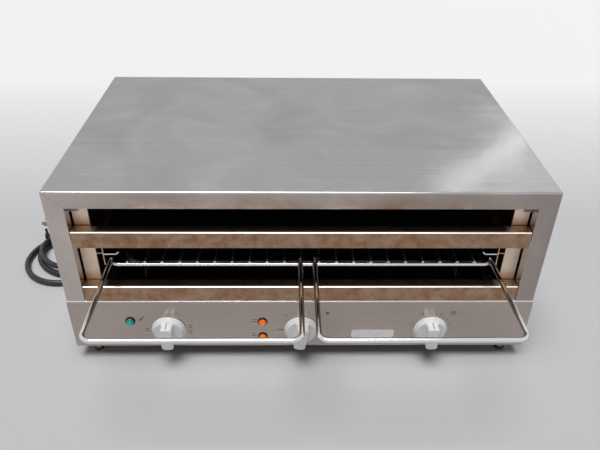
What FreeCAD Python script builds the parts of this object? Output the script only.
import FreeCAD, Part
import math
import os
import Sketcher
from FreeCAD import Placement, Rotation, Vector

# Commercial slide-in toaster with a wire rack, two trays, six hairpin elements and three controls.
# X runs to the right, Y to the rear and Z up, with the origin under the middle of the toaster.

doc = FreeCAD.newDocument("Toaster")

# Sizes in millimetres
sizes = {
    # Casing
    "width": 700.0,
    "depth": 430.0,
    "body_height": 281.0,
    "sheet": 1.2,
    "bend": 3.0,
    "post_width": 28.0,
    "top_bar": 26.0,
    "return_gap": 0.5,
    "rear_flange": 14.0,
    "rear_margin": 3.0,
    "pan_flange": 12.0,
    # Control panel
    "panel_height": 93.0,
    "panel_proud": 1.0,
    "panel_return": 20.0,
    "panel_lip": 14.0,
    "panel_bend": 4.0,
    # Heated chamber
    "chamber_inset": 52.0,
    "liner": 1.0,
    "ceiling_gap": 3.0,
    "liner_flange": 14.0,
    "strip_setback": 20.0,
    "strip_width": 22.0,
    "service_gap": 45.0,
    "bracket_height": 11.0,
    "bracket_overlap": 10.0,
    "bracket_margin": 8.0,
    # Trays
    "tray_sheet": 1.0,
    "tray_gap": 0.4,
    "tray_side_gap": 1.5,
    "tray_wall": 12.0,
    "lip_height": 26.0,
    "lip_ledge": 19.0,
    "lip_gap": 1.0,
    "lip_bend": 2.0,
    "tray_rear_gap": 6.0,
    "upper_tray_level": 190.0,
    "runner_width": 14.0,
    "runner_thick": 2.0,
    # Wire rack and its handles
    "rack_level": 150.0,
    "rack_side_gap": 20.5,
    "rack_setback": 15.6,
    "rack_rear_gap": 12.0,
    "rack_rod": 6.0,
    "rack_corner": 9.0,
    "rack_wire": 4.0,
    "wire_margin": 23.5,
    "wire_count": 21,
    "weld": 0.6,
    "handle_reach": 152.3,
    "handle_rod": 7.0,
    "handle_corner": 13.0,
    "handle_middle": 8.5,
    "handle_spacing": 21.0,
    "handle_splay": 5.0,
    # Rack guides and hold-down hooks
    "guide_standoff": 10.0,
    "guide_rise": 20.0,
    "guide_shelf": 18.0,
    "guide_tab_height": 40.0,
    "guide_tab_depth": 6.0,
    "rack_run_gap": 0.3,
    "hook_wire": 3.0,
    "hook_rise": 13.0,
    "hook_length": 18.0,
    "hook_tip": 4.0,
    # Heating elements
    "element_tube": 8.0,
    "upper_element_level": 181.0,
    "lower_element_level": 130.0,
    "element_first": 45.0,
    "element_pitch": 55.0,
    "element_bend_gap": 58.0,
    "element_tail": 20.0,
    "bush_neck": 13.6,
    "bush_flange": 18.0,
    "bush_thick": 4.0,
    "bush_clearance": 0.05,
    "terminal_size": 9.0,
    "terminal_length": 5.0,
    "rest_width": 43.0,
    "spacer_gap": 66.0,
    "spacer_thick": 1.5,
    "spacer_drop": 9.0,
    "spacer_rise": 6.0,
    "spacer_front": 22.0,
    "spacer_clearance": 0.2,
    # Controls
    "knob_diameter": 52.0,
    "knob_face": 49.0,
    "knob_skirt": 9.0,
    "knob_depth": 27.0,
    "knob_bar": 18.0,
    "knob_blend": 3.5,
    "knob_edge": 1.5,
    "knob_gap": 0.5,
    "knob_recess": 20.0,
    "knob_recess_depth": 5.0,
    "knob_level": 37.0,
    "heat_knob_x": -203.0,
    "selector_knob_x": 0.0,
    "timer_knob_x": 200.0,
    "selector_turn": 9.0,
    "spindle": 6.0,
    "spindle_grip": 12.0,
    "spindle_clearance": 0.05,
    "control_bush": 10.0,
    "control_bush_length": 3.0,
    "control_nut": 14.0,
    "control_nut_thick": 2.0,
    "control_width": 42.0,
    "control_height": 46.0,
    "control_depth": 36.0,
    # Pilot lamps
    "lamp_bezel": 15.0,
    "lamp_bezel_thick": 2.4,
    "lamp_body": 12.0,
    "lamp_depth": 26.0,
    "lamp_lens": 11.0,
    "lens_dome": 2.6,
    "power_lamp_x": -260.0,
    "power_lamp_level": 54.0,
    "heating_lamp_x": -59.0,
    "upper_lamp_level": 52.0,
    "lower_lamp_level": 22.0,
    # Feet
    "foot_diameter": 13.0,
    "foot_length": 20.2,
    "foot_pad": 15.0,
    "foot_pad_thick": 4.0,
    "foot_stud": 6.0,
    "foot_nut": 10.0,
    "foot_nut_thick": 5.0,
    "foot_inset_x": 25.0,
    "foot_inset_y": 22.0,
    # Screws
    "screw": 4.0,
    "screw_head": 8.0,
    "screw_head_thick": 2.4,
    "screw_length": 8.0,
    "screw_clearance": 0.05,
    "rear_screws_across": 5,
    "rear_screws_down": 3,
    "panel_screws": 4,
    # Vents
    "vent_length": 46.0,
    "vent_width": 5.0,
    "vent_pitch": 62.0,
    "rear_vents": 9,
    "rear_vent_level": 245.0,
    "pan_vents": 7,
    "pan_vent_setback": 90.0,
    # Supply
    "cord_diameter": 10.0,
    "gland_x": -93.0,
    "gland_level": 36.0,
    "gland_thread": 20.0,
    "gland_clearance": 0.1,
    "gland_flange": 27.0,
    "gland_flange_thick": 5.0,
    "gland_tail": 34.0,
    "gland_tip": 14.0,
    "gland_nut_thick": 5.0,
    "terminal_block_width": 64.0,
    "terminal_block_depth": 24.0,
    "terminal_block_height": 20.0,
    "terminal_block_setback": 70.0,
    "earth_stud": 5.0,
    "earth_stud_length": 16.0,
    "earth_nut": 8.0,
    "earth_nut_thick": 4.0,
    "wire": 3.0,
    "wire_bend": 12.0,
    # Coil of cord beside the toaster
    "coil_aside": 90.0,
    "coil_setback": 255.0,
    "coil_radius": 76.0,
    "coil_turns": 3.0,
    "coil_steps": 8,
    "coil_nest": 10.6,
    "coil_ride": 3.5,
    "coil_loose": 19.0,
    "coil_loose_top": 26.6,
    "coil_settle": 19.0,
    "coil_loose_angle": 50.0,
    "coil_layer_gap": 0.7,
    "tie_angle": 137.0,
    "tie_thick": 1.0,
    "tie_width": 5.0,
    "tie_clearance": 0.5,
    "tie_head": 7.0,
    "tie_tail": 16.0,
    # Plug
    "plug_width": 40.0,
    "plug_height": 30.0,
    "plug_length": 26.0,
    "plug_tail": 18.0,
    "plug_tail_diameter": 16.0,
    "plug_round": 8.0,
    "plug_gap": 0.4,
    "pin_width": 6.3,
    "pin_thick": 1.6,
    "pin_length": 18.0,
    "pin_spacing": 8.0,
    "pin_angle": 30.0,
}

sheet = doc.addObject("Spreadsheet::Sheet", "Size")
for row, (alias, value) in enumerate(sizes.items(), start=1):
    sheet.set(f"A{row}", alias)
    sheet.set(f"B{row}", str(value))
    sheet.setAlias(f"B{row}", alias)
doc.recompute()

# Places worked out from the sizes
place = doc.addObject("App::FeaturePython", "Place")
levels = {
    "front": "(Size.handle_reach - Size.depth - Size.screw_head_thick) / 2",
    "back": "Place.front + Size.depth",
    "base": "Size.foot_pad_thick + Size.foot_length - Size.sheet",
    "top": "Place.base + Size.body_height",
    "half": "Size.width / 2",
    "inner_half": "Place.half - Size.sheet",
    "slot_half": "Place.half - Size.post_width",
    "slot_top": "Place.top - Size.top_bar",
    "rear_plate": "Place.back - Size.sheet",
    "casing_back": "Place.rear_plate - Size.sheet",
    "panel_face": "Place.front - Size.panel_proud",
    "panel_back": "Place.panel_face + Size.sheet",
    "panel_top": "Place.base + Size.panel_height",
    "bend_clear": "Place.panel_back + Size.panel_bend - Size.sheet",
    "pan_floor": "Place.base + 2 * Size.sheet",
    "deck_top": "Place.panel_top - Size.sheet",
    "ceiling": "Place.slot_top + Size.ceiling_gap",
    "wall": "Place.half - Size.chamber_inset",
    "wall_out": "Place.wall + Size.liner",
    "strip_out": "Place.wall + Size.strip_width",
    "chamber_front": "Place.front + Size.strip_setback",
    "chamber_back": "Place.back - Size.service_gap",
    "runner_top": "Place.panel_top",
    "crumb_level": "Place.runner_top + Size.tray_gap",
    "upper_level": "Place.base + Size.upper_tray_level",
    "tray_half": "Place.wall - Size.tray_side_gap",
    "tray_back": "Place.chamber_back - Size.tray_rear_gap",
    "lip_half": "Place.slot_half - Size.lip_gap",
    "rack_z": "Place.base + Size.rack_level",
    "rack_half": "Place.wall - Size.rack_side_gap",
    "wire_pitch": "2 * (Place.rack_half - Size.wire_margin) / (Size.wire_count - 1)",
    "rack_front": "Place.front + Size.rack_setback",
    "rack_back": "Place.chamber_back - Size.rack_rear_gap",
    "wire_z": "Place.rack_z + Size.rack_rod / 2 + Size.rack_wire / 2 - Size.weld",
    "handle_z": "Place.rack_z + Size.rack_rod / 2 + Size.handle_rod / 2 - Size.weld",
    "handle_y": "Place.front - Size.handle_reach + Size.handle_rod / 2",
    "guide_x": "Place.wall - Size.guide_standoff",
    "guide_floor": "Place.rack_z - Size.rack_rod / 2 - Size.rack_run_gap",
    "guide_top": "Place.guide_floor + Size.guide_rise",
    "hook_z": "Place.rack_z + Size.hook_rise",
    "upper_element_z": "Place.base + Size.upper_element_level",
    "lower_element_z": "Place.base + Size.lower_element_level",
    "element_end": "Place.wall_out + Size.element_tail",
    "spacer_x": "Place.wall - Size.spacer_gap",
    "knob_z": "Place.base + Size.knob_level",
    "gland_z": "Place.base + Size.gland_level",
    "coil_x": "-(Place.half + Size.coil_aside)",
    "coil_y": "Place.front + Size.coil_setback",
    "coil_z": "Size.cord_diameter / 2 + Size.tie_thick + Size.tie_clearance",
    "coil_step": "Size.cord_diameter + Size.coil_layer_gap",
    "plug_z": "Place.coil_z + Place.coil_step + Size.cord_diameter / 2 + Size.plug_gap + Size.plug_height / 2",
}
for name, expression in levels.items():
    place.addProperty("App::PropertyFloat", name)
    place.setExpression(name, expression)
doc.recompute()

nodes = []
AXIS_TURN = {
    "x": Rotation(Vector(0, 1, 0), 90),
    "y": Rotation(Vector(1, 0, 0), -90),
    "z": Rotation(),
}


def size(alias):
    return float(sheet.get(alias))


def kept(part, label):
    part.Label = label
    nodes.append(part)
    return part


def box(x, y, z, name="Block"):
    # Each side is a pair of expressions, low and high
    part = doc.addObject("Part::Box", name)
    for side, length, (low, high) in zip("xyz", ("Length", "Width", "Height"), (x, y, z)):
        part.setExpression(length, f"({high}) - ({low})")
        part.setExpression(f"Placement.Base.{side}", low)
    return part


def rod(axis, start, length, diameter, name="Rod", tip=None):
    # A round bar from its start point along one axis, or a taper when the tip has a diameter of its own
    part = doc.addObject("Part::Cylinder" if tip is None else "Part::Cone", name)
    part.Placement = Placement(Vector(), AXIS_TURN[axis])
    for side, expression in zip("xyz", start):
        part.setExpression(f"Placement.Base.{side}", expression)
    part.setExpression("Height", length)
    if tip is None:
        part.setExpression("Radius", f"({diameter}) / 2")
    else:
        part.setExpression("Radius1", f"({diameter}) / 2")
        part.setExpression("Radius2", f"({tip}) / 2")
    return part


def nut(axis, start, length, across, name="Nut"):
    # A hexagon, sized across its corners
    part = doc.addObject("Part::Prism", name)
    part.Polygon = 6
    part.Placement = Placement(Vector(), AXIS_TURN[axis])
    for side, expression in zip("xyz", start):
        part.setExpression(f"Placement.Base.{side}", expression)
    part.setExpression("Height", length)
    part.setExpression("Circumradius", f"({across}) / 2")
    return part


def fuse(parts, name="Joined"):
    part = doc.addObject("Part::MultiFuse", name)
    part.Shapes = parts
    part.Refine = True
    return part


def cut(base, tools, name="Cut"):
    part = doc.addObject("Part::Cut", name)
    part.Base = base
    part.Tool = tools[0] if len(tools) == 1 else fuse(tools)
    part.Refine = True
    return part


def group(parts, name="Group"):
    part = doc.addObject("Part::Compound", name)
    part.Links = parts
    return part


def origin_plane(body, role):
    return next(item for item in body.Origin.OriginFeatures if item.Role == role)


def outline(body, name, role, offset, points):
    # A closed outline of straight lines, each corner placed by two expressions
    sketch = body.newObject("Sketcher::SketchObject", name)
    sketch.AttachmentSupport = [(origin_plane(body, role), "")]
    sketch.MapMode = "FlatFace"
    sketch.setExpression("AttachmentOffset.Base.z", offset)
    count = len(points)
    angles = [2 * math.pi * index / count for index in range(count)]
    ring = [Vector(math.cos(angle), math.sin(angle), 0) * 100 for angle in angles]
    for index in range(count):
        sketch.addGeometry(Part.LineSegment(ring[index], ring[(index + 1) % count]))
    for index in range(count):
        sketch.addConstraint(Sketcher.Constraint("Coincident", index, 2, (index + 1) % count, 1))
    for index, corner in enumerate(points):
        for kind, expression in zip(("DistanceX", "DistanceY"), corner):
            added = sketch.addConstraint(Sketcher.Constraint(kind, -1, 1, index, 1, 1.0))
            sketch.setExpression(f"Constraints[{added}]", expression)
    return sketch


def rectangle(low_x, high_x, low_y, high_y):
    return [(low_x, low_y), (high_x, low_y), (high_x, high_y), (low_x, high_y)]


def pad(body, name, sketch, length, both_ways=False):
    feature = body.newObject("PartDesign::Pad", name)
    feature.Profile = sketch
    feature.setExpression("Length", length)
    if both_ways:
        feature.SideType = "Symmetric"
    else:
        feature.Reversed = True
    return feature


def straight_edges(shape, direction, tests):
    # Names of the edges along one direction whose midpoints pass every test
    found = []
    for index, edge in enumerate(shape.Edges, start=1):
        if len(edge.Vertexes) < 2:
            continue
        run = edge.Vertexes[1].Point - edge.Vertexes[0].Point
        middle = (edge.Vertexes[1].Point + edge.Vertexes[0].Point) * 0.5
        if run.Length < 1e-6 or abs(run.normalize().dot(direction)) < 0.999:
            continue
        if all(abs(getattr(middle, side) - where) < 0.01 for side, where in tests.items()):
            found.append(f"Edge{index}")
    return found


def fillet(body, name, base, edges, radius):
    feature = body.newObject("PartDesign::Fillet", name)
    feature.Base = (base, edges)
    feature.setExpression("Radius", radius)
    return feature


def vector(x, y, z):
    return Vector(x, y, z)


def bent_wire(points, radius, closed=False):
    # Straight runs joined by tangent arcs of one radius, or of the largest that a short run allows
    count = len(points)
    radii = [radius] * count if isinstance(radius, (int, float)) else radius
    corners = range(count) if closed else range(1, count - 1)
    start = {}
    finish = {}
    middle = {}
    for index in corners:
        here = points[index]
        back = (points[index - 1] - here).normalize()
        ahead = (points[(index + 1) % count] - here).normalize()
        half_turn = (math.pi - back.getAngle(ahead)) / 2
        reach = radii[index] * math.tan(half_turn)
        start[index] = here + back * reach
        finish[index] = here + ahead * reach
        towards = (back + ahead).normalize()
        middle[index] = here + towards * radii[index] * (1 / math.cos(half_turn) - 1)
    edges = []
    runs = range(count) if closed else range(count - 1)
    for index in runs:
        following = (index + 1) % count
        a = finish.get(index, points[index])
        b = start.get(following, points[following])
        if (b - a).Length > 1e-4:
            edges.append(Part.LineSegment(a, b).toShape())
        if following in middle:
            edges.append(Part.Arc(start[following], middle[following], finish[following]).toShape())
    return Part.Wire(edges)


def swept(wire, diameter):
    start = wire.Edges[0]
    first = start.firstVertex(True).Point
    direction = start.tangentAt(start.FirstParameter)
    profile = Part.Wire([Part.makeCircle(diameter / 2, first, direction)])
    return wire.makePipeShell([profile], True, False)


def shaped(shape, name="Form"):
    part = doc.addObject("Part::Feature", name)
    part.Shape = shape
    return part


def screw(axis, head_at, sign, name="Screw"):
    # A pan head whose underside is at head_at, with its shank running the other way
    side = "xyz".index(axis)
    head_start = list(head_at)
    shank_start = list(head_at)
    if sign < 0:
        head_start[side] = f"({head_at[side]}) - Size.screw_head_thick"
    else:
        shank_start[side] = f"({head_at[side]}) - Size.screw_length"
    head = rod(axis, head_start, "Size.screw_head_thick", "Size.screw_head", name + "Head")
    shank = rod(axis, shank_start, "Size.screw_length", "Size.screw", name + "Shank")
    return fuse([head, shank], name)


def screw_hole(axis, through, extra="2"):
    # A clearance hole that passes the sheets on both sides of a point
    side = "xyz".index(axis)
    start = list(through)
    start[side] = f"({through[side]}) - Size.screw_length - {extra}"
    return rod(axis, start, f"2 * Size.screw_length + {extra}", "Size.screw + 2 * Size.screw_clearance", "Hole")


# Fixing points shared by the pieces that they hold
def spread(index, count, reach):
    return f"({reach}) * {2 * index / (count - 1) - 1:.6f}"


rear_points = []
for index in range(int(size("rear_screws_across"))):
    across = spread(index, int(size("rear_screws_across")), "Place.half - Size.rear_flange / 2 - 1")
    rear_points.append((across, "Place.back", "Place.top - Size.rear_flange / 2 - 1"))
for index in range(int(size("rear_screws_down"))):
    share = (index + 0.5) / (int(size("rear_screws_down")) + 0.5)
    for side in ("-", ""):
        across = f"{side}(Place.half - Size.rear_flange / 2 - 1)"
        rear_points.append((across, "Place.back", f"Place.base + Size.body_height * {share:.6f}"))

panel_points = []
for index in range(int(size("panel_screws"))):
    across = spread(index, int(size("panel_screws")), "Place.half - 2 * Size.foot_inset_x")
    panel_points.append((across, "Place.panel_face + Size.panel_lip - Size.screw_head / 2 - 1", "Place.base"))

bracket_points = []
for side in ("-", ""):
    for low in ("Place.ceiling - Size.bracket_margin - Size.bracket_height",
                "Place.deck_top + Size.bracket_margin"):
        across = f"{side}((Place.strip_out + Place.inner_half) / 2)"
        bracket_points.append((across, "Place.chamber_front", f"{low} + Size.bracket_height / 2"))

foot_points = []
for side in ("-", ""):
    for along in ("Place.front + Size.foot_inset_y", "Place.back - Size.foot_inset_y"):
        foot_points.append((f"{side}(Place.half - Size.foot_inset_x)", along))

controls = {
    "heat": "Size.heat_knob_x",
    "selector": "Size.selector_knob_x",
    "timer": "Size.timer_knob_x",
}
lamps = {
    "power": ("Size.power_lamp_x", "Place.base + Size.power_lamp_level"),
    "upper": ("Size.heating_lamp_x", "Place.base + Size.upper_lamp_level"),
    "lower": ("Size.heating_lamp_x", "Place.base + Size.lower_lamp_level"),
}


def rounded_block(name, half, front, length, low, top, bend):
    # A block whose front, top and side corners are bent, open for the sheet to be hollowed
    body = doc.addObject("PartDesign::Body", name + "Body")
    face = outline(body, name + "Face", "XZ_Plane", f"-({front})",
                   rectangle(f"-({half})", half, low, top))
    block = pad(body, name + "Block", face, length)
    doc.recompute()
    bounds = block.Shape.BoundBox
    edges = straight_edges(block.Shape, Vector(1, 0, 0), {"y": bounds.YMin, "z": bounds.ZMax})
    for side in (bounds.XMin, bounds.XMax):
        edges += straight_edges(block.Shape, Vector(0, 0, 1), {"x": side, "y": bounds.YMin})
        edges += straight_edges(block.Shape, Vector(0, 1, 0), {"x": side, "z": bounds.ZMax})
    fillet(body, name + "Bends", block, edges, bend)
    return body


# Folded casing: top, sides, front posts with their returns, front top bar and rear flanges in one sheet
def make_outer_casing():
    outer = rounded_block("Casing", "Place.half", "Place.front", "Size.depth - Size.sheet", "Place.base",
                          "Place.top", "Size.bend")
    inner = rounded_block("CasingVoid", "Place.inner_half", "Place.front + Size.sheet",
                          "Size.depth - 3 * Size.sheet", "Place.base - 5", "Place.top - Size.sheet",
                          "Size.bend - Size.sheet")
    opening = box(("-Place.slot_half", "Place.slot_half"),
                  ("Place.front - 5", "Place.front + Size.bend + 5"),
                  ("Place.base - 5", "Place.slot_top"), "FrontOpening")
    recess = box(("-Place.half - 5", "Place.half + 5"), ("Place.front - 5", "Place.panel_back"),
                 ("Place.base - 5", "Place.panel_top"), "PanelRecess")
    inner_posts = box(("-Place.inner_half", "Place.inner_half"),
                      ("Place.front - 5", "Place.front + Size.bend + 5"),
                      ("Place.base - 5", "Place.panel_top"), "PanelBay")
    rear_hole = box(("-(Place.half - Size.rear_flange)", "Place.half - Size.rear_flange"),
                    ("Place.casing_back - 5", "Place.back + 5"),
                    ("Place.base - 5", "Place.top - Size.rear_flange"), "RearOpening")
    holes = [screw_hole("y", point) for point in rear_points]
    shell = cut(outer, [inner, opening, recess, inner_posts, rear_hole] + holes)
    returns = [box(sided(side, "Place.slot_half", "Place.slot_half + Size.sheet"),
                   ("Place.front + Size.sheet / 2", "Place.chamber_front - Size.liner - Size.return_gap"),
                   ("Place.panel_top + Size.return_gap", "Place.slot_top"), "SlotReturn")
               for side in ("left", "right")]
    return kept(fuse([shell] + returns), "outer_casing")


def make_rear_panel():
    plate = box(("-(Place.half - Size.rear_margin)", "Place.half - Size.rear_margin"),
                ("Place.rear_plate", "Place.back"),
                ("Place.base + Size.rear_margin", "Place.top - Size.rear_margin"), "RearPlate")
    holes = [screw_hole("y", point) for point in rear_points]
    count = int(size("rear_vents"))
    for index in range(count):
        middle = f"Size.vent_pitch * {index - (count - 1) / 2}"
        for drop in range(2):
            level = f"Place.base + Size.rear_vent_level - 2 * Size.vent_width * {drop}"
            holes.append(box((f"{middle} - Size.vent_length / 2", f"{middle} + Size.vent_length / 2"),
                             ("Place.rear_plate - 5", "Place.back + 5"),
                             (level, f"{level} + Size.vent_width"), "RearVent"))
    holes.append(rod("y", ("Size.gland_x", "Place.rear_plate - 5", "Place.gland_z"), "10 + Size.sheet",
                     "Size.gland_thread + 2 * Size.gland_clearance", "GlandHole"))
    return kept(cut(plate, holes), "rear_panel")


def make_base_pan():
    low = "Place.base + Size.sheet"
    across = ("-Place.inner_half", "Place.inner_half")
    along = ("Place.bend_clear", "Place.casing_back")
    rim = ("Place.pan_floor", "Place.pan_floor + Size.pan_flange")
    floor = box(across, along, (low, "Place.pan_floor"), "PanFloor")
    left = box(("-Place.inner_half", "-Place.inner_half + Size.sheet"), along, rim, "PanLeft")
    right = box(("Place.inner_half - Size.sheet", "Place.inner_half"), along, rim, "PanRight")
    rear = box(across, ("Place.casing_back - Size.sheet", "Place.casing_back"), rim, "PanRear")
    holes = [screw_hole("z", point) for point in panel_points]
    for x, y in foot_points:
        holes.append(rod("z", (x, y, "Place.base - 5"), "20", "Size.foot_stud", "StudHole"))
    count = int(size("pan_vents"))
    for index in range(count):
        middle = f"Size.vent_pitch * {index - (count - 1) / 2}"
        for start in ("Place.front + Size.pan_vent_setback",
                      "Place.back - Size.pan_vent_setback - Size.vent_length"):
            holes.append(box((f"{middle} - Size.vent_width / 2", f"{middle} + Size.vent_width / 2"),
                             (start, f"{start} + Size.vent_length"),
                             ("Place.base - 5", "Place.pan_floor + 5"), "PanVent"))
    return kept(cut(fuse([floor, left, right, rear]), holes), "base_pan")


# Fascia folded from one sheet, with a rounded top bend and a rounded bottom lip
def make_control_panel():
    body = doc.addObject("PartDesign::Body", "PanelBody")
    section = [
        ("Place.panel_face", "Place.base"),
        ("Place.panel_face", "Place.panel_top"),
        ("Place.panel_face + Size.panel_return", "Place.panel_top"),
        ("Place.panel_face + Size.panel_return", "Place.deck_top"),
        ("Place.panel_back", "Place.deck_top"),
        ("Place.panel_back", "Place.base + Size.sheet"),
        ("Place.panel_face + Size.panel_lip", "Place.base + Size.sheet"),
        ("Place.panel_face + Size.panel_lip", "Place.base"),
    ]
    profile = outline(body, "PanelSection", "YZ_Plane", "0", section)
    fold = pad(body, "PanelFold", profile, "Size.width", both_ways=True)
    doc.recompute()
    along = Vector(1, 0, 0)
    outer = straight_edges(fold.Shape, along, {"y": place.panel_face, "z": place.panel_top})
    outer += straight_edges(fold.Shape, along, {"y": place.panel_face, "z": place.base})
    rounded = fillet(body, "PanelOuterBends", fold, outer, "Size.panel_bend")
    doc.recompute()
    inner = straight_edges(rounded.Shape, along, {"y": place.panel_back, "z": place.deck_top})
    inner += straight_edges(rounded.Shape, along,
                            {"y": place.panel_back, "z": place.base + size("sheet")})
    fillet(body, "PanelInnerBends", rounded, inner, "Size.panel_bend - Size.sheet")
    holes = [screw_hole("z", point) for point in panel_points]
    for x in controls.values():
        holes.append(rod("y", (x, "Place.panel_face - 5", "Place.knob_z"), "10 + Size.sheet",
                         "Size.control_bush", "BushHole"))
    for x, z in lamps.values():
        holes.append(rod("y", (x, "Place.panel_face - 5", z), "10 + Size.sheet", "Size.lamp_body", "LampHole"))
    side_tabs = [box((f"{side}Place.half{inward}", f"{side}Place.inner_half{outward}"),
                     ("Place.panel_back", "Place.panel_face + Size.panel_return + 1"),
                     ("Place.base - 1", "Place.panel_top + 1"), "ReturnNotch")
                 for side, inward, outward in (("-", " - 1", ""),)]
    side_tabs.append(box(("Place.inner_half", "Place.half + 1"),
                         ("Place.panel_back", "Place.panel_face + Size.panel_return + 1"),
                         ("Place.base - 1", "Place.panel_top + 1"), "ReturnNotch"))
    return kept(cut(body, holes + side_tabs), "control_panel")


def make_chamber_deck():
    along = ("Place.bend_clear", "Place.casing_back")
    plate = box(("-Place.inner_half", "Place.inner_half"), along,
                ("Place.deck_top - Size.sheet", "Place.deck_top"), "DeckPlate")
    rim = ("Place.deck_top - Size.liner_flange", "Place.deck_top")
    left = box(("-Place.inner_half", "-Place.inner_half + Size.sheet"), along, rim, "DeckLeft")
    right = box(("Place.inner_half - Size.sheet", "Place.inner_half"), along, rim, "DeckRight")
    wiring_hole = box(("Place.element_end", "Place.element_end + Size.liner_flange"),
                      ("Place.chamber_back - 3 * Size.liner_flange", "Place.chamber_back"),
                      ("Place.deck_top - 5", "Place.deck_top + 5"), "WiringHole")
    return kept(cut(fuse([plate, left, right]), [wiring_hole]), "chamber_deck")


def make_chamber_ceiling():
    along = ("Place.front + Size.bend", "Place.casing_back")
    plate = box(("-Place.inner_half", "Place.inner_half"), along,
                ("Place.ceiling", "Place.ceiling + Size.liner"), "CeilingPlate")
    rim = ("Place.ceiling", "Place.ceiling + Size.liner_flange")
    left = box(("-Place.inner_half", "-Place.inner_half + Size.liner"), along, rim, "CeilingLeft")
    right = box(("Place.inner_half - Size.liner", "Place.inner_half"), along, rim, "CeilingRight")
    return kept(fuse([plate, left, right]), "chamber_ceiling")


def sided(side, near, far):
    # A span given as distances from the middle, on the left or right
    return (f"-({far})", f"-({near})") if side == "left" else (near, far)


def make_chamber_wall(side):
    along = ("Place.chamber_front", "Place.chamber_back")
    plate = box(sided(side, "Place.wall", "Place.wall_out"), along, ("Place.deck_top", "Place.ceiling"),
                "WallPlate")
    strip = box(sided(side, "Place.wall", "Place.strip_out"),
                ("Place.chamber_front", "Place.chamber_front + Size.liner"),
                ("Place.deck_top", "Place.ceiling"), "FrontStrip")
    runner = box(sided(side, "Place.wall - Size.liner_flange", "Place.wall"), along,
                 ("Place.deck_top", "Place.runner_top"), "CrumbRunner")
    wall = fuse([plate, strip, runner])
    if side == "right":
        across = "Size.bush_neck + 2 * Size.bush_clearance"
        holes = [rod("x", ("Place.wall - 5", y, z), "10 + Size.liner", across, "BushHole")
                 for z in ("Place.upper_element_z", "Place.lower_element_z") for y in element_runs]
        wall = cut(wall, holes)
    return kept(wall, f"{side}_chamber_wall")


def make_chamber_back():
    plate = box(("-Place.wall_out", "Place.wall_out"), ("Place.chamber_back", "Place.chamber_back + Size.liner"),
                ("Place.deck_top", "Place.ceiling"), "BackPlate")
    flanges = [box(("-Place.wall_out", "Place.wall_out"),
                   ("Place.chamber_back", "Place.chamber_back + Size.liner_flange"), z, "BackFlange")
               for z in (("Place.deck_top", "Place.deck_top + Size.liner"),
                         ("Place.ceiling - Size.liner", "Place.ceiling"))]
    return kept(fuse([plate] + flanges), "chamber_back_wall")


# Tabs that tie the front strips to the casing sides
def make_wall_brackets():
    tabs = []
    screws = []
    thick = ("Place.chamber_front - Size.liner", "Place.chamber_front")
    for side in ("left", "right"):
        for low in ("Place.ceiling - Size.bracket_margin - Size.bracket_height",
                    "Place.deck_top + Size.bracket_margin"):
            level = (low, f"{low} + Size.bracket_height")
            face = box(sided(side, "Place.strip_out - Size.bracket_overlap", "Place.inner_half"),
                       thick, level, "TabFace")
            foot = box(sided(side, "Place.inner_half - Size.liner", "Place.inner_half"),
                       ("Place.chamber_front - Size.liner", "Place.chamber_front + Size.liner_flange"),
                       level, "TabFoot")
            tabs.append(fuse([face, foot]))
    for x, y, z in bracket_points:
        screws.append(screw("y", (x, "Place.chamber_front - Size.liner", z), -1, "TabScrew"))
    holes = [screw_hole("y", point) for point in bracket_points]
    tabs = [cut(tab, [hole]) for tab, hole in zip(tabs, holes)]
    kept(group(tabs), "wall_brackets")
    kept(group(screws), "bracket_screws")


def make_tray(label, level):
    body = doc.addObject("PartDesign::Body", "LipBody")
    high = f"{level} + Size.lip_height"
    ledge = "Place.front + Size.lip_ledge"
    section = [
        ("Place.front", level),
        ("Place.front", high),
        (ledge, high),
        (ledge, level),
        (f"{ledge} - Size.tray_sheet", level),
        (f"{ledge} - Size.tray_sheet", f"{high} - Size.tray_sheet"),
        ("Place.front + Size.tray_sheet", f"{high} - Size.tray_sheet"),
        ("Place.front + Size.tray_sheet", level),
    ]
    profile = outline(body, "LipSection", "YZ_Plane", "0", section)
    fold = pad(body, "LipFold", profile, "2 * Place.lip_half", both_ways=True)
    doc.recompute()
    top = fold.Shape.BoundBox.ZMax
    edges = straight_edges(fold.Shape, Vector(1, 0, 0), {"y": place.front, "z": top})
    edges += straight_edges(fold.Shape, Vector(1, 0, 0), {"y": place.front + size("lip_ledge"), "z": top})
    fillet(body, "LipBends", fold, edges, "Size.lip_bend")
    along = (f"{ledge} - Size.tray_sheet", "Place.tray_back")
    rise = (level, f"{level} + Size.tray_wall")
    floor = box(("-Place.tray_half", "Place.tray_half"), along, (level, f"{level} + Size.tray_sheet"), "TrayFloor")
    walls = [box(sided(side, "Place.tray_half - Size.tray_sheet", "Place.tray_half"), along, rise, "TraySide")
             for side in ("left", "right")]
    rear = box(("-Place.tray_half", "Place.tray_half"), ("Place.tray_back - Size.tray_sheet", "Place.tray_back"),
               rise, "TrayRear")
    return kept(fuse([body, floor, rear] + walls), label)


def make_upper_tray_runners():
    level = "Place.upper_level - Size.tray_gap"
    runners = [box(sided(side, "Place.wall - Size.runner_width", "Place.wall"),
                   ("Place.chamber_front", "Place.chamber_back"),
                   (f"{level} - Size.runner_thick", level), "TrayRunner") for side in ("left", "right")]
    return kept(group(runners), "upper_tray_runners")


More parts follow.
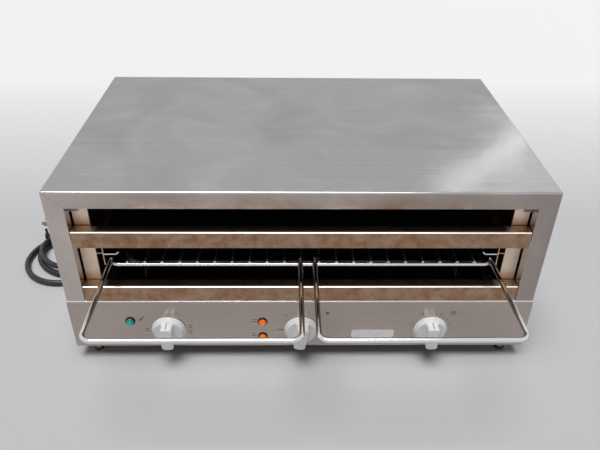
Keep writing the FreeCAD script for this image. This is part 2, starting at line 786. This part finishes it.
# Rack: a closed rod frame with cross bars, wires laid over it, and two handle loops
def make_rack():
    corners = [
        vector(-place.rack_half, place.rack_front, place.rack_z),
        vector(place.rack_half, place.rack_front, place.rack_z),
        vector(place.rack_half, place.rack_back, place.rack_z),
        vector(-place.rack_half, place.rack_back, place.rack_z),
    ]
    ring = shaped(swept(bent_wire(corners, size("rack_corner"), closed=True), size("rack_rod")), "RackRing")
    bars = []
    for share in (1 / 3, 2 / 3):
        along = f"Place.rack_front + (Place.rack_back - Place.rack_front) * {share:.6f}"
        bars.append(rod("x", ("-Place.rack_half", along, "Place.rack_z"), "2 * Place.rack_half",
                        "Size.rack_rod", "CrossBar"))
    kept(fuse([ring] + bars), "rack_frame")
    wires = []
    count = int(size("wire_count"))
    for index in range(count):
        across = f"Place.wire_pitch * {index - (count - 1) / 2}"
        wires.append(rod("y", (across, "Place.rack_front - 1", "Place.wire_z"),
                         "Place.rack_back - Place.rack_front + 2", "Size.rack_wire", "RackWire"))
    kept(group(wires), "rack_wires")
    middle = size("handle_middle")
    apart = size("handle_spacing") / 2
    for side, outer, inner, splay in (("left", -place.rack_half, middle - apart, 0),
                                      ("right", place.rack_half, middle + apart, size("handle_splay"))):
        end = place.rack_front + size("rack_rod")
        loop = [
            vector(outer, end, place.handle_z),
            vector(outer + splay, place.handle_y, place.handle_z),
            vector(inner, place.handle_y, place.handle_z),
            vector(inner, end, place.handle_z),
        ]
        wire = bent_wire(loop, size("handle_corner"))
        kept(shaped(swept(wire, size("handle_rod")), "HandleLoop"), f"{side}_rack_handle")


def make_rack_guides():
    hooks = []
    along = ("Place.chamber_front", "Place.chamber_back")
    for side in ("left", "right"):
        web = box(sided(side, "Place.guide_x", "Place.guide_x + Size.liner"), along,
                  ("Place.guide_floor - Size.liner", "Place.guide_top"), "GuideWeb")
        shelf = box(sided(side, "Place.guide_x - Size.guide_shelf", "Place.guide_x + Size.liner"), along,
                    ("Place.guide_floor - Size.liner", "Place.guide_floor"), "GuideShelf")
        flange = box(sided(side, "Place.guide_x", "Place.wall"), along,
                     ("Place.guide_top - Size.liner", "Place.guide_top"), "GuideFlange")
        tab = box(sided(side, "Place.guide_x", "Place.guide_x + Size.liner"),
                  ("Place.chamber_front", "Place.chamber_front + Size.guide_tab_depth"),
                  ("Place.guide_floor", "Place.guide_floor + Size.guide_tab_height"), "GuideTab")
        kept(fuse([web, shelf, flange, tab]), f"{side}_rack_guide")
        sign = -1 if side == "left" else 1
        y = place.chamber_front + size("guide_tab_depth") / 2
        start = vector(sign * place.guide_x, y, place.hook_z)
        turn = start - vector(sign * size("hook_length"), 0, 0)
        tip = turn + vector(-sign * size("hook_tip"), 0, size("hook_tip"))
        hooks.append(shaped(swept(bent_wire([start, turn, tip], size("hook_wire")), size("hook_wire")), "Hook"))
    kept(group(hooks), "rack_hooks")


# Elements: each is a hairpin with both ends through the right wall
element_runs = [f"Place.front + Size.element_first + Size.element_pitch * {index}" for index in range(6)]


def make_elements():
    for level in ("upper", "lower"):
        z = getattr(place, f"{level}_element_z")
        for index, name in enumerate(("front", "middle", "rear")):
            y = place.front + size("element_first") + 2 * index * size("element_pitch")
            far = y + size("element_pitch")
            bend = size("element_bend_gap") - place.wall
            apex = vector(bend - size("element_pitch") / 2, (y + far) / 2, z)
            wire = Part.Wire([
                Part.LineSegment(vector(place.element_end, y, z), vector(bend, y, z)).toShape(),
                Part.Arc(vector(bend, y, z), apex, vector(bend, far, z)).toShape(),
                Part.LineSegment(vector(bend, far, z), vector(place.element_end, far, z)).toShape(),
            ])
            kept(shaped(swept(wire, size("element_tube")), "Hairpin"), f"{level}_element_{name}")


def make_element_fittings():
    bushes = []
    terminals = []
    for z in ("Place.upper_element_z", "Place.lower_element_z"):
        for y in element_runs:
            neck = rod("x", ("Place.wall", y, z), "Size.liner", "Size.bush_neck", "BushNeck")
            flange = rod("x", ("Place.wall_out", y, z), "Size.bush_thick", "Size.bush_flange", "BushFlange")
            bore = rod("x", ("Place.wall - 5", y, z), "20", "Size.element_tube + 2 * Size.bush_clearance", "Bore")
            bushes.append(cut(fuse([neck, flange]), [bore]))
            terminals.append(nut("x", ("Place.element_end", y, z), "Size.terminal_length",
                                 "Size.terminal_size", "Terminal"))
    kept(group(bushes), "element_bushes")
    kept(group(terminals), "element_terminals")
    rests = []
    spacers = []
    for z in ("Place.upper_element_z", "Place.lower_element_z"):
        under = f"{z} - Size.element_tube / 2"
        rests.append(box(("-Place.wall", "-Place.wall + Size.rest_width"),
                         ("Place.front + Size.element_first", "Place.chamber_back"),
                         (f"{under} - Size.liner", under), "ElementRest"))
        for side in ("left", "right"):
            strip = box(sided(side, "Place.spacer_x - Size.spacer_thick / 2",
                              "Place.spacer_x + Size.spacer_thick / 2"),
                        ("Place.front + Size.spacer_front", "Place.chamber_back"),
                        (f"{z} - Size.spacer_drop", f"{z} + Size.spacer_rise"), "SpacerStrip")
            centre = "-Place.spacer_x" if side == "left" else "Place.spacer_x"
            holes = [rod("x", (f"{centre} - 5", y, z), "10",
                         "Size.element_tube + 2 * Size.spacer_clearance", "TubeHole") for y in element_runs]
            spacers.append(cut(strip, holes))
    kept(group(rests), "element_rests")
    kept(group(spacers), "element_spacers")


# Knob: a tapered skirt with a grip bar across its face
def make_knob(name, x, turn):
    body = doc.addObject("PartDesign::Body", "KnobBody")
    profile = outline(body, "KnobProfile", "XZ_Plane", "0", [
        ("0", "0"),
        ("Size.knob_diameter / 2", "0"),
        ("Size.knob_diameter / 2", "Size.knob_edge"),
        ("Size.knob_face / 2", "Size.knob_skirt"),
        ("Size.knob_face / 2", "Size.knob_depth"),
        ("0", "Size.knob_depth"),
    ])
    spin = body.newObject("PartDesign::Revolution", "KnobSpin")
    spin.Profile = profile
    spin.ReferenceAxis = (profile, ["V_Axis"])
    spin.Angle = 360
    doc.recompute()
    current = spin
    for side, near, far in (("Right", "Size.knob_bar / 2", "Size.knob_diameter"),
                            ("Left", "-Size.knob_diameter", "-Size.knob_bar / 2")):
        area = outline(body, f"Knob{side}", "XY_Plane", "Size.knob_depth",
                       rectangle(near, far, "-Size.knob_diameter", "Size.knob_diameter"))
        pocket = body.newObject("PartDesign::Pocket", f"KnobCut{side}")
        pocket.Profile = area
        pocket.setExpression("Length", "Size.knob_depth - Size.knob_skirt")
        doc.recompute()
        current = pocket
    half_bar = size("knob_bar") / 2
    inner = []
    outer = []
    for sign in (-1, 1):
        inner += straight_edges(current.Shape, Vector(0, 1, 0), {"x": sign * half_bar, "z": size("knob_skirt")})
        outer += straight_edges(current.Shape, Vector(0, 1, 0), {"x": sign * half_bar, "z": size("knob_depth")})
    blended = fillet(body, "KnobBlend", current, inner, "Size.knob_blend")
    doc.recompute()
    outer = []
    for sign in (-1, 1):
        outer += straight_edges(blended.Shape, Vector(0, 1, 0), {"x": sign * half_bar, "z": size("knob_depth")})
    fillet(body, "KnobEdge", blended, outer, "Size.knob_edge")
    recess = rod("z", ("0", "0", "-1"), "1 + Size.knob_recess_depth", "Size.knob_recess", "KnobRecess")
    bore = rod("z", ("0", "0", "0"), "Size.spindle_grip", "Size.spindle", "KnobBore")
    knob = cut(body, [recess, bore], "KnobCut")
    knob.Placement = Placement(Vector(), Rotation(Vector(1, 0, 0), 90))
    turned = doc.addObject("Part::Compound", "TurnedKnob")
    turned.Links = [knob]
    turned.Placement = Placement(Vector(), Rotation(Vector(0, 1, 0), 1))
    turned.setExpression("Placement.Rotation.Angle", turn)
    turned.setExpression("Placement.Base.x", x)
    turned.setExpression("Placement.Base.y", "Place.panel_face - Size.knob_gap")
    turned.setExpression("Placement.Base.z", "Place.knob_z")
    return kept(turned, f"{name}_knob")


def make_controls():
    nuts = []
    bodies = {"heat": "heat_regulator", "selector": "selector_switch", "timer": "timer_unit"}
    turns = {"heat": "0", "selector": "Size.selector_turn", "timer": "0"}
    nut_front = "Place.panel_face - Size.control_nut_thick"
    for name, x in controls.items():
        make_knob(name, x, turns[name])
        start = "Place.panel_face - Size.knob_gap - Size.spindle_grip"
        kept(rod("y", (x, start, "Place.knob_z"),
                 "Size.knob_gap + Size.spindle_grip + Size.sheet + Size.control_depth / 2", "Size.spindle",
                 "Spindle"), f"{name}_spindle")
        case = box((f"{x} - Size.control_width / 2", f"{x} + Size.control_width / 2"),
                   ("Place.panel_back", "Place.panel_back + Size.control_depth"),
                   ("Place.knob_z - Size.control_height / 2", "Place.knob_z + Size.control_height / 2"),
                   "ControlCase")
        bush = rod("y", (x, "Place.panel_face - Size.control_bush_length", "Place.knob_z"),
                   "Size.control_bush_length + Size.sheet", "Size.control_bush", "ControlBush")
        bore = rod("y", (x, "Place.panel_face - 10", "Place.knob_z"),
                   "10 + Size.sheet + Size.control_depth / 2 + 1", "Size.spindle + 2 * Size.spindle_clearance",
                   "SpindleBore")
        kept(cut(fuse([case, bush]), [bore]), bodies[name])
        ring = nut("y", (x, nut_front, "Place.knob_z"), "Size.control_nut_thick", "Size.control_nut", "BushNut")
        hole = rod("y", (x, f"{nut_front} - 1", "Place.knob_z"), "Size.control_nut_thick + 1",
                   "Size.control_bush", "NutBore")
        nuts.append(cut(ring, [hole]))
    kept(group(nuts), "control_nuts")


def make_lamps():
    housings = []
    lenses = {}
    rim = "Place.panel_face - Size.lamp_bezel_thick"
    for name, (x, z) in lamps.items():
        bezel = rod("y", (x, rim, z), "Size.lamp_bezel_thick", "Size.lamp_bezel", "LampBezel")
        barrel = rod("y", (x, "Place.panel_face", z), "Size.lamp_depth", "Size.lamp_body", "LampBarrel")
        seat = rod("y", (x, f"{rim} - 1", z), "1 + Size.lamp_bezel_thick", "Size.lamp_lens", "LensSeat")
        housings.append(cut(fuse([bezel, barrel]), [seat]))
        disc = rod("y", (x, rim, z), "Size.lamp_bezel_thick", "Size.lamp_lens", "LensDisc")
        dome = rod("y", (x, f"{rim} - Size.lens_dome", z), "Size.lens_dome", "Size.lamp_lens / 2", "LensDome",
                   tip="Size.lamp_lens")
        lenses[name] = fuse([disc, dome])
    kept(group(housings), "lamp_housings")
    kept(lenses["power"], "power_lens")
    kept(group([lenses["upper"], lenses["lower"]]), "heating_lenses")


def make_feet():
    barrels = []
    pads = []
    nuts = []
    for x, y in foot_points:
        barrel = rod("z", (x, y, "Size.foot_pad_thick"), "Size.foot_length", "Size.foot_diameter", "FootBarrel")
        stud = rod("z", (x, y, "Size.foot_pad_thick + Size.foot_length"),
                   "Size.sheet + Size.foot_nut_thick + 1", "Size.foot_stud", "FootStud")
        barrels.append(fuse([barrel, stud]))
        pads.append(rod("z", (x, y, "0"), "Size.foot_pad_thick", "Size.foot_pad", "FootPad"))
        ring = nut("z", (x, y, "Place.pan_floor"), "Size.foot_nut_thick", "Size.foot_nut", "FootNut")
        hole = rod("z", (x, y, "Place.pan_floor - 1"), "Size.foot_nut_thick + 2", "Size.foot_stud", "NutBore")
        nuts.append(cut(ring, [hole]))
    kept(group(barrels), "foot_barrels")
    kept(group(pads), "foot_pads")
    kept(group(nuts), "foot_nuts")


def make_screws():
    kept(group([screw("y", point, 1, "RearScrew") for point in rear_points]), "rear_screws")
    kept(group([screw("z", point, -1, "PanelScrew") for point in panel_points]), "panel_screws")


# Supply side: gland, terminal block, earth stud and inner wires
def make_supply():
    flange = rod("y", ("Size.gland_x", "Place.back", "Place.gland_z"), "Size.gland_flange_thick",
                 "Size.gland_flange", "GlandFlange")
    tail = rod("y", ("Size.gland_x", "Place.back + Size.gland_flange_thick", "Place.gland_z"),
               "Size.gland_tail", "Size.gland_thread", "GlandTail", tip="Size.gland_tip")
    thread = rod("y", ("Size.gland_x", "Place.rear_plate - Size.gland_nut_thick - 1", "Place.gland_z"),
                 "Size.sheet + Size.gland_nut_thick + 1", "Size.gland_thread", "GlandThread")
    kept(fuse([flange, tail, thread]), "cord_gland")
    ring = nut("y", ("Size.gland_x", "Place.rear_plate - Size.gland_nut_thick", "Place.gland_z"),
               "Size.gland_nut_thick", "Size.gland_flange", "GlandNut")
    hole = rod("y", ("Size.gland_x", "Place.rear_plate - Size.gland_nut_thick - 1", "Place.gland_z"),
               "Size.gland_nut_thick + 2", "Size.gland_thread", "NutBore")
    kept(cut(ring, [hole]), "gland_nut")
    block_back = "Place.back - Size.terminal_block_setback"
    kept(box(("Size.gland_x - Size.terminal_block_width / 2", "Size.gland_x + Size.terminal_block_width / 2"),
             (f"{block_back} - Size.terminal_block_depth", block_back),
             ("Place.pan_floor", "Place.pan_floor + Size.terminal_block_height"), "TerminalBlock"),
         "terminal_block")
    stud_x = "Size.gland_x + Size.terminal_block_width"
    stud = rod("z", (stud_x, block_back, "Place.pan_floor"), "Size.earth_stud_length", "Size.earth_stud", "EarthStud")
    collar = nut("z", (stud_x, block_back, "Place.pan_floor"), "Size.earth_nut_thick", "Size.earth_nut", "EarthNut")
    kept(fuse([stud, collar]), "earth_stud")
    block_front = place.back - size("terminal_block_setback") - size("terminal_block_depth")
    block_z = place.base + 2 * size("sheet") + size("terminal_block_height") / 2
    control_back = place.panel_back + size("control_depth")
    wires = []
    for index, name in enumerate(controls):
        start = vector(size("gland_x") + (index - 1) * size("terminal_block_width") / 4, block_front, block_z)
        end = vector(size(f"{name}_knob_x"), control_back, place.knob_z)
        middle_y = (block_front + control_back) / 2 + (index - 1) * 2 * size("wire_bend")
        route = [start, vector(start.x, middle_y, start.z), vector(end.x, middle_y, end.z), end]
        wires.append(shaped(swept(bent_wire(route, size("wire_bend")), size("wire")), "InnerWire"))
    kept(group(wires), "wiring_loom")


# Stretches over which the coil changes, in turns from its start
coil_stretches = {
    "nest": (0.7, 1.0),
    "leave": (1.08, 1.38),
    "rejoin": (1.42, 1.76),
    "climb": (1.45, 1.8),
    "ride_out": (1.7, 2.1),
    "leave_top": (1.95, 2.38),
    "ride_in": (2.1, 2.6),
    "lift": (2.35, 3.0),
    "settle": (2.45, 3.0),
    "widen": (2.5, 3.0),
}


def eased(turns, stretch):
    # Share of a change that is done after so many turns, without a corner at either end
    start, end = coil_stretches[stretch]
    share = min(max((turns - start) / (end - start), 0), 1)
    return share * share * (3 - 2 * share)


# Coil: a full turn, one nested in it that hangs loose from the tie, and a looser one on top, up to the plug
def coil_point(turns):
    radius = size("coil_radius") - size("coil_nest") * eased(turns, "nest")
    radius += size("coil_ride") * (eased(turns, "ride_out") - eased(turns, "ride_in") + eased(turns, "widen"))
    loose = size("coil_loose") * (eased(turns, "leave") - eased(turns, "rejoin"))
    loose += size("coil_loose_top") * eased(turns, "leave_top") - size("coil_settle") * eased(turns, "settle")
    upper = place.coil_z + place.coil_step
    height = place.coil_z + place.coil_step * eased(turns, "climb")
    height += (place.plug_z - upper) * eased(turns, "lift")
    angle = math.radians(90 + 360 * turns)
    loose_angle = math.radians(size("coil_loose_angle"))
    return vector(place.coil_x + radius * math.cos(angle) + loose * math.cos(loose_angle),
                  place.coil_y + radius * math.sin(angle) + loose * math.sin(loose_angle), height)


def biarc(start, start_way, end, end_way):
    # Two tangent arcs from one point and direction to another
    chord = end - start
    both = start_way + end_way
    spread_factor = 2 * (1 - start_way.dot(end_way))
    along = chord.dot(both)
    reach = (-along + math.sqrt(along * along + spread_factor * chord.dot(chord))) / spread_factor
    first = start + start_way * reach
    second = end - end_way * reach
    joint = (first + second) * 0.5
    return [corner_arc(start, first, joint), corner_arc(joint, second, end)]


def corner_arc(start, corner, end):
    weight = (end - start).Length / 2 / (corner - start).Length
    middle = (start + end) * (0.5 / (1 + weight)) + corner * (weight / (1 + weight))
    return Part.Arc(start, middle, end).toShape()


def make_coil():
    turns = size("coil_turns")
    count = int(turns * size("coil_steps"))
    step = 0.01
    points = [coil_point(turns * index / count) for index in range(count + 1)]
    ways = []
    for index in range(count + 1):
        at = turns * index / count
        ways.append((coil_point(at + step) - coil_point(at - step)).normalize())
    ways[0] = vector(-1, 0, 0)
    ways[-1] = vector(-1, 0, 0)
    run = size("cord_diameter")
    edges = [Part.LineSegment(points[0] - ways[0] * run, points[0]).toShape()]
    for index in range(count):
        edges += biarc(points[index], ways[index], points[index + 1], ways[index + 1])
    edges.append(Part.LineSegment(points[-1], points[-1] + ways[-1] * run).toShape())
    wire = Part.Wire(edges)
    tube = swept(wire, size("cord_diameter"))
    kept(shaped(tube, "Coil"), "cord_coil")
    report_coil(wire, tube)
    return edges[0].Vertexes[0].Point, points[-1] + ways[-1] * run


def report_coil(wire, tube):
    samples = wire.discretize(Distance=2.0)
    apart = size("cord_diameter") * 3
    gap = min((samples[a] - samples[b]).Length
              for a in range(len(samples)) for b in range(a + 1, len(samples)) if (b - a) * 2.0 > apart)
    section = math.pi * size("cord_diameter") ** 2 / 4
    print(f"coil length {wire.Length:.1f}, least gap to itself {gap - size('cord_diameter'):.2f}, "
          f"volume over section x length {tube.Volume / section / wire.Length:.4f}")


# Free stretch from the gland to the coil: runs joined by arcs as large as the runs allow
def make_power_cord(coil_start):
    exit_y = place.back + size("gland_flange_thick") + size("gland_tail")
    lay = size("cord_diameter") / 2
    gland_x = size("gland_x")
    end = coil_start
    route = [
        vector(gland_x, exit_y, place.gland_z),
        vector(gland_x, exit_y + 26, place.gland_z),
        vector(gland_x - 10, exit_y + 61, place.gland_z - 12),
        vector(gland_x - 32, exit_y + 92, place.gland_z - 29),
        vector(gland_x - 66, exit_y + 114, lay + 10),
        vector(gland_x - 110, exit_y + 121, lay + 2),
        vector(gland_x - 157, exit_y + 114, lay),
        vector(gland_x - 201, exit_y + 91, lay),
        vector(end.x + 102, end.y + 193.5, lay),
        vector(end.x + 79, end.y + 153.7, lay),
        vector(end.x + 68.8, end.y + 112.9, lay + 0.1),
        vector(end.x + 67.5, end.y + 76.9, lay + 0.4),
        vector(end.x + 64.7, end.y + 45, lay + 1.1),
        vector(end.x + 58.5, end.y + 28.9, lay + 1.4),
        vector(end.x + 48, end.y + 15.1, end.z),
        vector(end.x + 33.8, end.y + 5.2, end.z),
        vector(end.x + 17.3, end.y, end.z),
        end,
    ]
    radii = [0.0] * len(route)
    for index in range(1, len(route) - 1):
        back = route[index] - route[index - 1]
        ahead = route[index + 1] - route[index]
        half_turn = back.getAngle(ahead) / 2
        radii[index] = 0.45 * min(back.Length, ahead.Length) / math.tan(half_turn)
    wire = bent_wire(route, radii)
    tube = swept(wire, size("cord_diameter"))
    section = math.pi * size("cord_diameter") ** 2 / 4
    print("cord radii", " ".join(f"{radius:.0f}" for radius in radii[1:-1]),
          "runs", " ".join(f"{(b - a).Length:.0f}" for a, b in zip(route, route[1:])))
    print(f"cord length {wire.Length:.1f}, volume over section x length {tube.Volume / section / wire.Length:.4f}")
    kept(shaped(tube, "Cord"), "power_cord")


def strand_at_tie(turns):
    # Distance from the coil's middle and height where a strand passes the tie's plane, found in small steps
    for repeat in range(20):
        point = coil_point(turns) - vector(place.coil_x, place.coil_y, 0)
        turns += (size("tie_angle") - math.degrees(math.atan2(point.y, point.x))) / 360
    return math.hypot(point.x, point.y), point.z


# Tie round the three strands, in the upright plane through the coil's middle
def make_tie():
    angle = size("tie_angle")
    strands = [strand_at_tie((angle - 90) / 360 + turn) for turn in range(3)]
    reach = size("cord_diameter") / 2 + size("tie_clearance")
    low_r = min(out for out, z in strands) - reach
    high_r = max(out for out, z in strands) + reach
    high_z = max(z for out, z in strands) + reach
    thick = size("tie_thick")
    width = size("tie_width")
    outer = Part.makeBox(high_r - low_r + 2 * thick, width, high_z + thick, vector(low_r - thick, -width / 2, 0))
    inner = Part.makeBox(high_r - low_r, width, high_z - thick, vector(low_r, -width / 2, thick))
    upright = [edge for edge in outer.Edges if abs(edge.tangentAt(edge.FirstParameter).y) > 0.99]
    outer = outer.makeFillet(reach / 2, upright)
    upright = [edge for edge in inner.Edges if abs(edge.tangentAt(edge.FirstParameter).y) > 0.99]
    inner = inner.makeFillet(reach / 2 - thick, upright)
    head = size("tie_head")
    lock = Part.makeBox(head, width + 2, head / 2, vector(high_r - head - reach / 2, -width / 2 - 1, high_z + thick))
    tail = Part.makeBox(thick, width, size("tie_tail"), vector(high_r - head, -width / 2, high_z + thick))
    band = outer.cut(inner).fuse(lock).fuse(tail).removeSplitter()
    part = shaped(band, "Tie")
    part.Placement = Placement(vector(place.coil_x, place.coil_y, 0), Rotation(Vector(0, 0, 1), angle))
    kept(part, "cord_tie")


# Flat three-pin plug lying on the coil
def make_plug(coil_end):
    block = Part.makeBox(size("plug_length"), size("plug_width"), size("plug_height"),
                         vector(0, -size("plug_width") / 2, -size("plug_height") / 2))
    long_edges = [edge for edge in block.Edges if abs(edge.tangentAt(edge.FirstParameter).x) > 0.99]
    block = block.makeFillet(size("plug_round"), long_edges)
    tail = Part.makeCone(size("plug_height") / 2 - 2, size("plug_tail_diameter") / 2, size("plug_tail"),
                         vector(0, 0, 0), vector(-1, 0, 0))
    plug = block.fuse(tail).removeSplitter()
    turn = Placement(coil_end, Rotation(Vector(0, 0, 1), 180)) * Placement(vector(size("plug_tail"), 0, 0), Rotation())
    part = shaped(plug, "Plug")
    part.Placement = turn
    kept(part, "plug_body")
    pins = []
    length = size("pin_length")
    for out, tilt in ((-1, -size("pin_angle")), (1, size("pin_angle")), (0, 0)):
        pin = Part.makeBox(length, size("pin_thick"), size("pin_width"),
                           vector(0, -size("pin_thick") / 2, -size("pin_width") / 2))
        pin.Placement = Placement(vector(size("plug_length"), out * size("pin_spacing"),
                                         -size("pin_spacing") / 2 if out == 0 else size("pin_spacing") / 2),
                                  Rotation(Vector(1, 0, 0), tilt))
        pins.append(pin)
    part = shaped(Part.makeCompound(pins), "Pins")
    part.Placement = turn
    kept(part, "plug_pins")


make_outer_casing()
make_rear_panel()
make_base_pan()
make_control_panel()
make_chamber_deck()
make_chamber_ceiling()
make_chamber_wall("left")
make_chamber_wall("right")
make_chamber_back()
make_wall_brackets()
make_upper_tray_runners()
make_tray("upper_tray", "Place.upper_level")
make_tray("crumb_tray", "Place.crumb_level")
make_rack()
make_rack_guides()
make_elements()
make_element_fittings()
make_controls()
make_lamps()
make_feet()
make_screws()
make_supply()
coil_start, coil_end = make_coil()
make_power_cord(coil_start)
make_tie()
make_plug(coil_end)
doc.recompute()

# Every object and every kept piece is sound before anything is written
for item in doc.Objects:
    if "Invalid" in item.State or "Error" in item.State:
        raise RuntimeError(f"{item.Name} ({item.Label}) failed: {item.State}")
for item in nodes:
    if item.Shape.isNull() or not item.Shape.isValid() or not item.Shape.Solids:
        raise RuntimeError(f"{item.Label} has no sound solid")

os.makedirs("parts", exist_ok=True)
for item in nodes:
    item.Shape.exportStep(f"parts/{item.Label}.step")
print(len(nodes), "nodes written")
